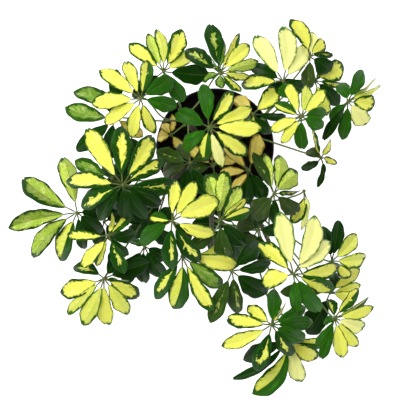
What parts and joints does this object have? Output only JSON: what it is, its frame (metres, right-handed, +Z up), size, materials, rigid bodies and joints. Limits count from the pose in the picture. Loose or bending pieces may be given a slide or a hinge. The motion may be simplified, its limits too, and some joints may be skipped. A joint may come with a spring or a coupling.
{
  "type": "potted umbrella plant",
  "caption": "Yellow-variegated dwarf umbrella plant with leaning stems and compound leaves, in a round tapered nursery pot filled with soil.",
  "frame": {"origin": "middle of the pot's flat underside, on the surface that it stands on", "axes": "+Z up; +Y towards the top of the picture seen from straight above, +X to its right; the foliage leans towards -Y"},
  "size_m": [0.7215, 0.7254, 0.6609],
  "materials": {
    "pot_plastic": "satin",
    "soil": "matte",
    "bark": "matte",
    "leaf_variegated": "satin",
    "leaf_green": "satin",
    "leaf_old": "satin"
  },
  "bodies": {
    "root": {"pot": "pot_plastic", "soil": "soil", "stem_north_west": "bark", "stem_north_east": "bark", "stem_centre": "bark", "stem_west": "bark", "stem_south": "bark", "stem_south_east": "bark", "leaf_b": "leaf_variegated", "leaf_c": "leaf_variegated", "leaf_a": "leaf_variegated", "leaf_ai": "leaf_variegated", "leaf_ag": "leaf_green", "leaf_af": "leaf_old", "leaf_h": "leaf_variegated", "leaf_e": "leaf_variegated", "leaf_k": "leaf_variegated", "leaf_f": "leaf_variegated", "leaf_i": "leaf_variegated", "leaf_g": "leaf_variegated", "leaf_j": "leaf_variegated", "leaf_l": "leaf_variegated", "leaf_ad": "leaf_old", "leaf_ae": "leaf_old", "leaf_m": "leaf_variegated", "leaf_o": "leaf_variegated", "leaf_aj": "leaf_variegated", "leaf_n": "leaf_variegated", "leaf_p": "leaf_variegated", "leaf_q": "leaf_green", "leaf_r": "leaf_variegated", "leaf_s": "leaf_variegated", "leaf_t": "leaf_variegated", "leaf_u": "leaf_green", "leaf_ak": "leaf_green", "leaf_v": "leaf_variegated", "leaf_ab": "leaf_variegated", "leaf_w": "leaf_variegated", "leaf_aa": "leaf_variegated", "leaf_y": "leaf_variegated", "leaf_x": "leaf_variegated", "leaf_z": "leaf_variegated", "leaf_ac": "leaf_variegated", "leaf_low_w": "leaf_green", "leaf_low_s": "leaf_green", "leaf_low_m": "leaf_green", "leaf_low_o": "leaf_green"}
  },
  "joints": []
}
